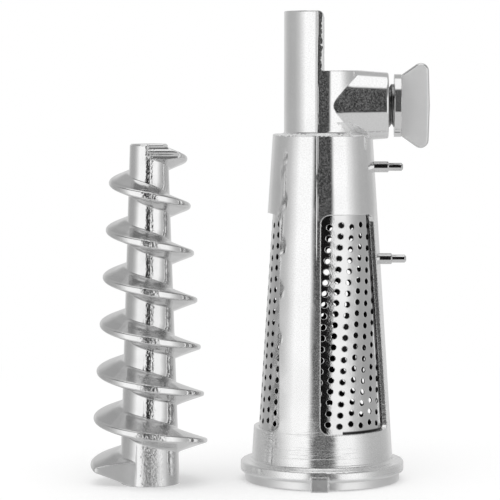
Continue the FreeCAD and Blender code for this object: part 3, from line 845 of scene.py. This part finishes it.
@dataclass(frozen=True)
class WingFinish(MetalFinish):
    """Casting with a turned collar and a polished rim round tumbled flat faces."""

    collar_end: float = 0.0312
    collar_blend: float = 0.0004
    face_half: float = 0.00225
    face_blend: float = 0.0002
    face_roughness: float = 0.42
    face_bare: float = 0.45
    grain_scale: float = 2400.0
    grain_depth: float = 0.00002

    def flat_faces(self, spot: Spot) -> bpy.types.NodeSocket:
        """Mask of the wing's flat faces.

        Args:
            spot: Place on the wing head.

        Returns:
            Socket that is 1 on the faces.
        """
        tree = spot.tree
        thick = tree.math("ABSOLUTE", spot.y)
        beyond = tree.ramp(spot.x, self.collar_end, self.collar_end + self.collar_blend)
        return tree.product(beyond, tree.ramp(thick, self.face_half, self.face_half + self.face_blend))

    def bareness(self, spot: Spot) -> Feed:
        """Oxide on the flat faces."""
        return spot.tree.between(self.flat_faces(spot), self.metallic, self.face_bare)

    def wear(self, spot: Spot, rough: bpy.types.NodeSocket) -> bpy.types.NodeSocket:
        """Satin on the flat faces."""
        return spot.tree.math("MULTIPLY_ADD", self.flat_faces(spot), self.face_roughness, rough)

    def relief(self, spot: Spot, normal: bpy.types.NodeSocket) -> bpy.types.NodeSocket:
        """Fine tumbled grain on the flat faces."""
        height = spot.tree.product(spot.grain(self.grain_scale), self.flat_faces(spot))
        return spot.tree.bump(height, self.grain_depth, normal)


@dataclass(frozen=True)
class ScreenFinish(MetalFinish):
    """Bright sheet with a burr round each perforation, rolled slightly out of true."""

    # Grid of perforations, laid out on the flat sheet from its seam and its small end.
    taper: float = 3.69
    foot_radius: float = 0.02647
    window_top: float = 0.1073
    first_row: float = 0.0040
    row_pitch: float = 0.00434
    column_pitch: float = 0.00465
    stagger: float = 0.0008
    last_row: int = 18
    seam_bearing: float = 31.3
    seam_strip: float = 0.0026
    hole_radius: float = 0.00118
    burr_width: float = 0.00025
    burr_height: float = 0.00006
    # Painted shadow in the gaps beside the bar and above the sill, and the twist of the sheet.
    bar_half: float = 0.0082
    sill: float = 0.0215
    bar_crevice: float = 0.0021
    bar_full: float = 0.00168
    sill_crevice: float = 0.0012
    sill_full: float = 0.0006
    twist: float = 1.1
    true_at: float = 0.095
    # Painted shade: the sheet's inner side, seen through the perforations, is painted near black.
    inside_shade_colour: Colour = grey(0.05)
    # Painted shadow colour for the gaps beside the bar and above the sill.
    gap_shadow_colour: Colour = grey(0.03)
    grain_scale: float = 1900.0
    grain_depth: float = 0.00003

    def burrs(self, spot: Spot) -> bpy.types.NodeSocket:
        """Height of the burrs, from the grid that the sheet is punched in.

        Args:
            spot: Place on the screen.

        Returns:
            Socket that is 1 at the rim of each perforation and 0 a burr's width away.
        """
        tree = spot.tree
        taper = math.radians(self.taper)
        apex = self.foot_radius / math.tan(taper)
        shortest = (apex - self.window_top) / math.cos(taper) + self.first_row
        reach = tree.math("DIVIDE", tree.math("SUBTRACT", apex, spot.z), math.cos(taper))
        seam = math.radians(self.seam_bearing)
        bearing = tree.math("SUBTRACT", tree.math("ARCTAN2", spot.y, spot.x), seam + math.pi)
        turn = tree.math("WRAP", bearing, math.pi, -math.pi)
        arc = tree.product(turn, reach, math.sin(taper))
        odd = tree.math("FLOORED_MODULO", self.nearest(tree, arc, self.column_pitch), 2.0)
        first = tree.math("MULTIPLY_ADD", odd, self.stagger, shortest)
        row = self.nearest(tree, tree.math("SUBTRACT", reach, first), self.row_pitch)
        hole_reach = tree.math("MULTIPLY_ADD", row, self.row_pitch, first)
        ring = tree.product(hole_reach, math.sin(taper))
        hole_arc = tree.product(turn, ring)
        column = self.nearest(tree, hole_arc, self.column_pitch)
        across = tree.math("MULTIPLY_ADD", column, -self.column_pitch, hole_arc)
        along = tree.math("SUBTRACT", reach, hole_reach)
        away = tree.diagonal(across, along)
        burr = tree.ramp(away, self.hole_radius + self.burr_width, self.hole_radius)
        middle = self.last_row / 2
        punched = tree.math("COMPARE", row, middle, middle + 0.5)
        from_seam = tree.product(tree.math("SUBTRACT", math.pi, tree.math("ABSOLUTE", turn)), ring)
        clear = tree.math("GREATER_THAN", from_seam, self.seam_strip)
        return tree.product(burr, punched, clear)

    def tint(self, spot: Spot, colour: bpy.types.NodeSocket) -> bpy.types.NodeSocket:
        """Painted shade inside the sheet and painted shadow in the gaps beside the pin bar and above the
        sill.

        Args:
            spot: Place on the screen.
            colour: Colour of the bright sheet.

        Returns:
            Socket with the colour.
        """
        tree = spot.tree
        middle = tree.math("MULTIPLY_ADD", spot.z, -math.tan(math.radians(self.taper)), self.foot_radius)
        inside = tree.math("LESS_THAN", spot.radius(), middle)
        wide = tree.math("ABSOLUTE", spot.y)
        beside = tree.ramp(wide, self.bar_half + self.bar_crevice, self.bar_half + self.bar_full)
        above = tree.ramp(spot.z, self.sill + self.sill_crevice, self.sill + self.sill_full)
        right = tree.math("GREATER_THAN", spot.x, self.bar_half)
        # Painted shadow: the sheet is painted near black where the gaps beside the bar and above the sill
        # fall in shade.
        painted_gap_shadow = tree.product(tree.math("MAXIMUM", beside, above), right)
        # Painted shade on the sheet's inner side, laid over the painted gap shadow.
        return tree.mix(inside, tree.mix(painted_gap_shadow, colour, self.gap_shadow_colour), self.inside_shade_colour)

    @staticmethod
    def nearest(tree: Tree, value: Feed, pitch: float) -> bpy.types.NodeSocket:
        """Number of the nearest step of a pitch."""
        return tree.math("ROUND", tree.math("DIVIDE", value, pitch))

    def relief(self, spot: Spot, normal: bpy.types.NodeSocket) -> bpy.types.NodeSocket:
        """Raise the burrs, on a sheet with fine grain that is rolled slightly out of true.

        Args:
            spot: Place on the screen.
            normal: Normal of the bright sheet.

        Returns:
            Socket with the tilted normal.
        """
        tree = spot.tree
        lean = tree.product(spot.x, tree.math("SUBTRACT", spot.z, self.true_at))
        normal = tree.bump(lean, self.twist, normal)
        normal = tree.bump(spot.grain(self.grain_scale), self.grain_depth, normal)
        return tree.bump(self.burrs(spot), self.burr_height, normal)


def dress_node(name: str, finish: MetalFinish, effects: Effects) -> None:
    """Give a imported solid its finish.

    Args:
        name: The node's name.
        finish: Finish for the whole node.
        effects: Shared effects.
    """
    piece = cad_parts[name]
    made = finish.material(effects)
    for slot in piece.material_slots:
        slot.material = made
    log.info("%s is dressed in %s", name, finish.name)


@dataclass
class Strainer:
    """Polished casting with its screen and the two tray pins."""

    casting: MetalFinish = CastingFinish(
        "polished_casting", grey(0.90), grey(0.86), polish=0.045, dullness=0.10, metallic=0.96,
        edge_radius=0.0008, line_pitch=0.0008, line_depth=0.0003,
    )
    sheet: MetalFinish = ScreenFinish(
        "screen_sheet", grey(0.80), grey(0.74), polish=0.05, dullness=0.10,
    )
    pin: MetalFinish = MetalFinish(
        "pin_steel", grey(0.84), grey(0.74), polish=0.07, dullness=0.14, turning=TurningAxis.LENGTHWAYS,
    )

    def dress(self, effects: Effects) -> None:
        """Give each solid its finish.

        Args:
            effects: Shared effects.
        """
        dress_node("strainer_housing", self.casting, effects)
        dress_node("perforated_screen", self.sheet, effects)
        dress_node("upper_tray_pin", self.pin, effects)
        dress_node("lower_tray_pin", self.pin, effects)


@dataclass
class RegulatingScrew:
    """Threaded stem with its wing head and swivel plug."""

    thread: MetalFinish = MetalFinish(
        "thread_steel", grey(0.36), grey(0.25), polish=0.22, dullness=0.4, turning=TurningAxis.LENGTHWAYS,
    )
    wing: MetalFinish = WingFinish(
        "wing_casting", grey(0.86), grey(0.80), polish=0.07, dullness=0.12, metallic=0.9,
        edge_radius=0.0005,
    )
    plug: MetalFinish = MetalFinish(
        "plug_steel", (0.66, 0.66, 0.65), (0.55, 0.55, 0.54), polish=0.2, dullness=0.34,
        turning=TurningAxis.LENGTHWAYS,
    )

    def dress(self, effects: Effects) -> None:
        """Give each solid its finish.

        Args:
            effects: Shared effects.
        """
        dress_node("regulating_stem", self.thread, effects)
        dress_node("wing_head", self.wing, effects)
        dress_node("regulator_plug", self.plug, effects)


@dataclass
class Auger:
    """Conical auger, drawn with rounded flights and soft roots, and its drive bush."""

    length: float = 0.135
    core_radius: float = 0.0119
    core_taper: float = 1.87
    core_round: float = 0.0006
    flight_radius: float = 0.02416
    flight_taper: float = 3.98
    flight_pitch: float = 0.0187
    flight_turns: float = 7.0
    flight_start: float = 0.003
    flank: float = 17.5
    rim_round: float = 0.0009
    side_flat: float = 0.00015
    seam_flat: float = 0.0008
    root_blend: float = 0.0018
    tail_face: float = 0.0107
    head_face: float = 0.0081
    face_blend: float = 0.0012
    face_span: float = 89.0
    seam_bearing: float = -6.0
    seam_width: float = 0.0004
    seam_height: float = 0.00008
    # How finely the surface is divided.
    side_rows: int = 11
    round_steps: int = 5
    column_step: float = 2.0
    seam_steps: tuple[float, ...] = (-3.0, -2.2, -1.5, -0.8, 0.0, 0.8, 1.5, 2.2, 3.0)
    sharp_angle: float = 38.0
    weld: float = 1e-6
    level_within: float = 1e-5
    bush: MetalFinish = MetalFinish(
        "bush_steel", (0.62, 0.62, 0.61), (0.5, 0.5, 0.49), polish=0.22, dullness=0.38,
    )

    def casting(self) -> AugerFinish:
        """Finish of the casting, laid out on this auger's own sizes.

        Returns:
            The finish.
        """
        return AugerFinish(
            "auger_casting", grey(0.84), grey(0.77), polish=0.05, dullness=0.11, metallic=0.96,
            edge_radius=0.0004, ripple_depth=0.00006, ripple_scale=130.0,
            seam_bearing=self.seam_bearing, tail_face=-self.tail_face, head_face=-self.head_face,
            rim_foot=self.flight_radius, rim_taper=self.flight_taper,
        )

    def core_at(self, height: float) -> float:
        """Radius of the core at a height."""
        return self.core_radius - height * math.tan(math.radians(self.core_taper))

    def climb(self, turned: float) -> float:
        """Height of the flight's middle after a number of degrees."""
        return self.flight_start + self.flight_pitch * turned / 360.0

    def rim_at(self, turned: float) -> float:
        """Radius of the flight's rim after a number of degrees."""
        return self.flight_radius - self.climb(turned) * math.tan(math.radians(self.flight_taper))

    def flat_at(self, turned: float) -> float:
        """Half width of the flat along the rim, which is ground widest at the seams."""
        near = math.cos(math.radians(turned - self.seam_bearing)) ** 2
        return self.side_flat + (self.seam_flat - self.side_flat) * near

    def face_limit(self, turned: float) -> float:
        """Radius at which a flat end face cuts the flight, or a radius beyond the flight.

        Args:
            turned: Degrees from the start of the flight.

        Returns:
            Largest radius that the flight may have there.
        """
        last = 360.0 * self.flight_turns
        if 0.0 <= turned < self.face_span:
            return self.tail_face / math.cos(math.radians(turned))
        if last - self.face_span < turned <= last:
            return self.head_face / math.cos(math.radians(last - turned))
        return 2 * self.flight_radius

    @staticmethod
    def soft_least(first: float, second: float, reach: float) -> float:
        """Smaller of two lengths, rounded off where they are within a reach of each other."""
        near = max(reach - abs(first - second), 0.0) / reach
        return min(first, second) - near * near * reach / 4

    def flight_at(self, turned: float, aside: float) -> float:
        """Radius of the bare flight.

        Args:
            turned: Degrees from the start of the flight.
            aside: Height above or below the flight's middle.

        Returns:
            Radius from the auger's axis, 0 where there is no flight.
        """
        if not 0.0 <= turned <= 360.0 * self.flight_turns:
            return 0.0
        centre = self.rim_at(turned) - self.rim_round
        flank = math.radians(self.flank)
        edge = self.rim_round * math.cos(flank)
        beyond = max(abs(aside) - self.flat_at(turned), 0.0)
        if beyond <= edge:
            return centre + math.sqrt(self.rim_round**2 - beyond**2)
        return centre + self.rim_round * math.sin(flank) - (beyond - edge) / math.tan(flank)

    def surface_at(self, turned: float, aside: float) -> float:
        """Radius of the finished casting.

        Args:
            turned: Degrees from the start of the flight.
            aside: Height above or below the flight's middle.

        Returns:
            Radius from the auger's axis.
        """
        core = self.core_at(self.climb(turned) + aside)
        flight = self.flight_at(turned, aside)
        radius = -self.soft_least(-core, -flight, self.root_blend)
        radius = max(core, self.soft_least(radius, self.face_limit(turned), self.face_blend))
        from_seam = math.radians((turned - self.seam_bearing + 90.0) % 180.0 - 90.0) * radius
        return radius + self.seam_height * math.exp(-((from_seam / self.seam_width) ** 2))

    def row_places(self, turned: float) -> list[float]:
        """Heights above the flight's middle at which the surface has its points, one half of it.

        Args:
            turned: Degrees from the start of the flight.

        Returns:
            Rising list from 0 to half the pitch.
        """
        flank = math.radians(self.flank)
        shares = [step / self.round_steps for step in range(self.round_steps + 1)]
        bend = math.pi / 2 - flank
        flat = self.flat_at(turned)
        rim = [0.0] + [flat + self.rim_round * math.sin(share * bend) for share in shares]
        foot = self.core_at(self.climb(turned)) + self.rim_round * (1 - math.sin(flank))
        root = rim[-1] + (self.rim_at(turned) - foot) * math.tan(flank)
        soft = self.root_blend * math.tan(flank)
        fillet = [root + (2 * share - 1) * soft for share in shares]
        span = fillet[0] - rim[-1]
        side = [rim[-1] + step / self.side_rows * span for step in range(1, self.side_rows)]
        half = self.flight_pitch / 2
        return rim + side + fillet + [(fillet[-1] + half) / 2, half]

    def columns(self) -> list[float]:
        """Degrees at which the surface has a column of points, closer together at the seams.

        Returns:
            Rising list of degrees from the start of the flight.
        """
        first = -math.ceil((self.flight_start / self.flight_pitch + 0.5) * 2) * 180
        last = math.ceil(((self.length - self.flight_start) / self.flight_pitch + 0.5) * 2) * 180
        turns: list[float] = []
        for seam in range(first, last + 1, 180):
            middle = seam + self.seam_bearing
            turns += [middle + step for step in self.seam_steps]
            place = middle + self.seam_steps[-1] + self.column_step
            while place < middle + 180 + self.seam_steps[0]:
                turns.append(place)
                place += self.column_step
        return turns

    def surface(self) -> bmesh.types.BMesh:
        """Skin of the casting as one strip that climbs round the axis.

        Returns:
            The skin, joined along its turns and still open at both ends.
        """
        skin = bmesh.new()
        strip: list[list[bmesh.types.BMVert]] = []
        for turned in self.columns():
            half = self.row_places(turned)
            bearing = math.radians(turned)
            column: list[bmesh.types.BMVert] = []
            for aside in [-place for place in reversed(half[1:])] + half:
                radius = self.surface_at(turned, aside)
                height = self.climb(turned) + aside
                place = (-radius * math.sin(bearing), -radius * math.cos(bearing), height)
                column.append(skin.verts.new(place))
            strip.append(column)
        for this, following in zip(strip, strip[1:]):
            for low in range(len(this) - 1):
                skin.faces.new((this[low], this[low + 1], following[low + 1], following[low]))
        bmesh.ops.remove_doubles(skin, verts=skin.verts[:], dist=self.weld)
        return skin

    def trim(self, skin: bmesh.types.BMesh, height: float, keep_above: bool) -> list[bmesh.types.BMEdge]:
        """Cut the skin level.

        Args:
            skin: Skin to cut.
            height: Height of the cut.
            keep_above: Whether the part above the cut stays.

        Returns:
            The open edges at the cut.
        """
        bmesh.ops.bisect_plane(
            skin, geom=skin.verts[:] + skin.edges[:] + skin.faces[:], dist=self.weld,
            plane_co=(0.0, 0.0, height), plane_no=(0.0, 0.0, -1.0 if keep_above else 1.0), clear_outer=True,
        )
        return [
            edge for edge in skin.edges
            if edge.is_boundary and all(abs(vert.co.z - height) < self.level_within for vert in edge.verts)
        ]

    @staticmethod
    def carry(
        skin: bmesh.types.BMesh, rim: list[bmesh.types.BMEdge], radius: float | None, inset: float,
        height: float,
    ) -> list[bmesh.types.BMEdge]:
        """Carry an open rim on to another height and radius.

        Args:
            skin: Skin that the rim belongs to.
            rim: Open edges to carry on.
            radius: Radius of the new rim, or None to move each point in by the inset.
            inset: How far each point moves towards the axis where there is no radius.
            height: Height of the new rim.

        Returns:
            The new open edges.
        """
        made = bmesh.ops.extrude_edge_only(skin, edges=rim)["geom"]
        for vert in (item for item in made if isinstance(item, bmesh.types.BMVert)):
            now = math.hypot(vert.co.x, vert.co.y)
            share = (now - inset if radius is None else radius) / now
            vert.co = Vector((vert.co.x * share, vert.co.y * share, height))
        return [item for item in made if isinstance(item, bmesh.types.BMEdge) and item.is_boundary]

    def build(self, effects: Effects) -> None:
        """Draw the casting in place of its plain solid.

        Args:
            effects: Shared effects.
        """
        bush_low, bush_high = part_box("drive_bush")
        skin = self.surface()
        foot = self.trim(skin, 0.0, True)
        seat_radius = (bush_high.x - bush_low.x) / 2
        seat = self.carry(skin, foot, seat_radius, 0.0, 0.0)
        seat_end = self.carry(skin, seat, seat_radius, 0.0, bush_high.z)
        bmesh.ops.edgeloop_fill(skin, edges=seat_end)
        top = self.trim(skin, self.length - self.core_round, False)
        bmesh.ops.edgeloop_fill(skin, edges=self.carry(skin, top, None, self.core_round, self.length))
        bmesh.ops.recalc_face_normals(skin, faces=skin.faces[:])
        for face in skin.faces:
            face.smooth = True
        mesh = bpy.data.meshes.new("auger_casting")
        skin.to_mesh(mesh)
        skin.free()
        mesh.set_sharp_from_angle(angle=math.radians(self.sharp_angle))
        piece = bpy.data.objects.new("auger_casting", mesh)
        piece.location = ((bush_low.x + bush_high.x) / 2, (bush_low.y + bush_high.y) / 2, 0.0)
        bpy.context.scene.collection.objects.link(piece)
        mesh.materials.append(self.casting().material(effects))
        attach(piece, "auger")
        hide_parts("auger_screw")
        log.info("auger casting has %d faces", len(mesh.polygons))

    def dress(self, effects: Effects) -> None:
        """Give the bush its finish.

        Args:
            effects: Shared effects.
        """
        dress_node("drive_bush", self.bush, effects)


@dataclass
class Studio:
    """Pale floor, soft light and the camera."""

    lens: float = 174.2
    sensor: float = 36.0
    camera_place: Place = (0.005, -0.966, 0.1625)
    camera_aim: Place = (-0.029, 0.0, 0.0922)
    floor_radius: float = 0.42
    floor_clear: float = 0.2
    floor_white: float = 0.399
    floor_sides: int = 96
    floor_drop: float = 0.0001
    floor_grey: Colour = grey(0.78)
    lift: float = 0.3
    lamp_size: float = 0.9
    lamp_power: float = 3.0
    lamp_place: Place = (-0.1, -0.35, 1.1)
    lamp_back: Place = (-0.1, -0.4, 1.0)
    room_light: float = 0.78
    # Degrees to the right of the front, and how bright the room is there.
    panels: tuple[tuple[float, float], ...] = (
        (-180.0, 0.7), (-150.0, 0.66), (-135.0, 0.5), (-115.0, 0.42), (-90.0, 0.44), (-75.0, 0.58),
        (-60.0, 0.9), (-52.0, 1.1), (-23.0, 1.1), (-16.0, 0.008), (19.0, 0.008), (26.0, 1.1),
        (52.0, 1.1), (60.0, 0.9), (75.0, 0.58), (90.0, 0.44), (115.0, 0.42), (135.0, 0.5),
        (150.0, 0.66), (180.0, 0.7),
    )
    # Canopy, walls and ground of the room: brightness, and degrees above the horizon.
    canopy_level: float = 1.06
    canopy_low: float = 58.0
    canopy_high: float = 67.0
    wall_level: float = 0.42
    wall_low: float = 20.0
    wall_high: float = 32.0
    upper_level: float = 0.2
    # Degrees from the front at which the upper walls begin and grow brighter.
    front_edge: float = 19.0
    front_blend: float = 4.0
    back_edge: float = 100.0
    back_blend: float = 15.0
    ground_level: float = 0.6
    ground_top: float = -20.0
    ground_full: float = -24.0

    def build_world(self) -> None:
        """White to the camera, a room with soft panels to polished metal, even light to the rest."""
        world = bpy.data.worlds.new("studio")
        bpy.context.scene.world = world
        world.use_nodes = True
        tree = Tree(world.node_tree)
        axes = tree.add("ShaderNodeSeparateXYZ")
        tree.feed(axes.inputs[0], tree.add("ShaderNodeTexCoord").outputs["Generated"])
        round_about = tree.math("ARCTAN2", axes.outputs["X"], tree.product(axes.outputs["Y"], -1.0))
        turn = tree.math("MULTIPLY_ADD", round_about, 0.5 / math.pi, 0.5)
        ring = tree.add("ShaderNodeValToRGB")
        stops = ring.color_ramp.elements
        stops[0].position = 0.0
        stops[1].position = 1.0
        for bearing, _ in self.panels[1:-1]:
            stops.new((bearing + 180.0) / 360.0)
        for stop, (_, level) in zip(stops, self.panels):
            stop.color = (level, level, level, 1.0)
        tree.feed(ring.inputs["Fac"], turn)
        climb = tree.math("DEGREES", tree.math("ARCSINE", axes.outputs["Z"]))
        away = tree.math("DEGREES", tree.math("ABSOLUTE", round_about))
        side = tree.ramp(away, self.front_edge - self.front_blend, self.front_edge + self.front_blend)
        behind = tree.ramp(away, self.back_edge - self.back_blend, self.back_edge + self.back_blend)
        wall = tree.mix(behind, grey(self.upper_level), grey(self.wall_level))
        above = tree.product(tree.ramp(climb, self.wall_low, self.wall_high), side)
        room = tree.mix(above, ring.outputs["Color"], wall)
        room = tree.mix(tree.ramp(climb, self.canopy_low, self.canopy_high), room, grey(self.canopy_level))
        room = tree.mix(tree.ramp(climb, self.ground_top, self.ground_full), room, grey(self.ground_level))
        rays = tree.add("ShaderNodeLightPath")
        seen = tree.mix(rays.outputs["Is Glossy Ray"], grey(self.room_light), room)
        shown = tree.math("MAXIMUM", rays.outputs["Is Camera Ray"], rays.outputs["Is Transmission Ray"])
        back = tree.add("ShaderNodeBackground")
        tree.feed(back.inputs["Color"], tree.mix(shown, seen, grey(1.0)))
        leave = tree.add("ShaderNodeOutputWorld")
        tree.feed(leave.inputs["Surface"], back.outputs["Background"])

    def floor_material(self) -> bpy.types.Material:
        """Pale floor that keeps shadows near the object and runs into the white further out.

        Returns:
            The floor's material.
        """
        made = bpy.data.materials.new("pale_floor")
        made.use_nodes = True
        tree = Tree(made.node_tree)
        place = tree.add("ShaderNodeTexCoord").outputs["Object"]
        reach = tree.add("ShaderNodeVectorMath", operation="LENGTH")
        tree.feed(reach.inputs[0], place)
        far = tree.ramp(reach.outputs["Value"], self.floor_clear, self.floor_white)
        rays = tree.add("ShaderNodeLightPath")
        matt = tree.add("ShaderNodeBsdfDiffuse")
        matt.inputs["Color"].default_value = (*self.floor_grey, 1.0)
        glow = tree.add("ShaderNodeEmission")
        tree.feed(glow.inputs["Strength"], tree.product(rays.outputs["Is Camera Ray"], self.lift))
        near = tree.add("ShaderNodeAddShader")
        tree.feed(near.inputs[0], matt.outputs["BSDF"])
        tree.feed(near.inputs[1], glow.outputs["Emission"])
        white = tree.add("ShaderNodeEmission")
        blend = tree.add("ShaderNodeMixShader")
        tree.feed(blend.inputs["Fac"], tree.product(far, rays.outputs["Is Camera Ray"]))
        tree.feed(blend.inputs[1], near.outputs["Shader"])
        tree.feed(blend.inputs[2], white.outputs["Emission"])
        leave = tree.add("ShaderNodeOutputMaterial")
        tree.feed(leave.inputs["Surface"], blend.outputs["Shader"])
        return made

    def build_floor(self) -> None:
        """Round floor under the object."""
        mesh = bpy.data.meshes.new("floor")
        bearings = [math.tau * step / self.floor_sides for step in range(self.floor_sides)]
        ring = [
            (self.floor_radius * math.cos(turn), self.floor_radius * math.sin(turn), -self.floor_drop)
            for turn in bearings
        ]
        mesh.from_pydata(ring, [], [list(range(self.floor_sides))])
        floor = bpy.data.objects.new("floor", mesh)
        bpy.context.scene.collection.objects.link(floor)
        mesh.materials.append(self.floor_material())
        floor.visible_glossy = False

    def build_lamps(self) -> None:
        """One large soft lamp above, which gives the shadow on the floor."""
        lamp = bpy.data.lights.new("soft_lamp", "AREA")
        lamp.shape = "RECTANGLE"
        lamp.size = self.lamp_size
        lamp.size_y = self.lamp_size
        lamp.energy = self.lamp_power
        carrier = bpy.data.objects.new("soft_lamp", lamp)
        carrier.location = self.lamp_place
        carrier.rotation_euler = Vector(self.lamp_back).to_track_quat("Z", "Y").to_euler()
        carrier.visible_glossy = False
        bpy.context.scene.collection.objects.link(carrier)

    def build_camera(self) -> None:
        """Camera at the photograph's angle."""
        data = bpy.data.cameras.new("camera")
        data.lens = self.lens
        data.sensor_width = self.sensor
        camera = bpy.data.objects.new("camera", data)
        camera.location = self.camera_place
        look = Vector(self.camera_aim) - Vector(self.camera_place)
        camera.rotation_euler = look.to_track_quat("-Z", "Y").to_euler()
        bpy.context.scene.collection.objects.link(camera)
        bpy.context.scene.camera = camera

    def build(self) -> None:
        """Build everything around the object."""
        bpy.context.scene.view_settings.view_transform = "Standard"
        self.build_camera()
        self.build_world()
        self.build_floor()
        self.build_lamps()
        log.info("studio is built")


def main() -> None:
    """Dress each sub-assembly in turn and build the studio."""
    logging.basicConfig(level=logging.INFO, format="%(message)s")
    Studio().build()
    effects = Effects()
    Strainer().dress(effects)
    RegulatingScrew().dress(effects)
    auger = Auger()
    auger.build(effects)
    auger.dress(effects)


if __name__ == "__main__":
    main()
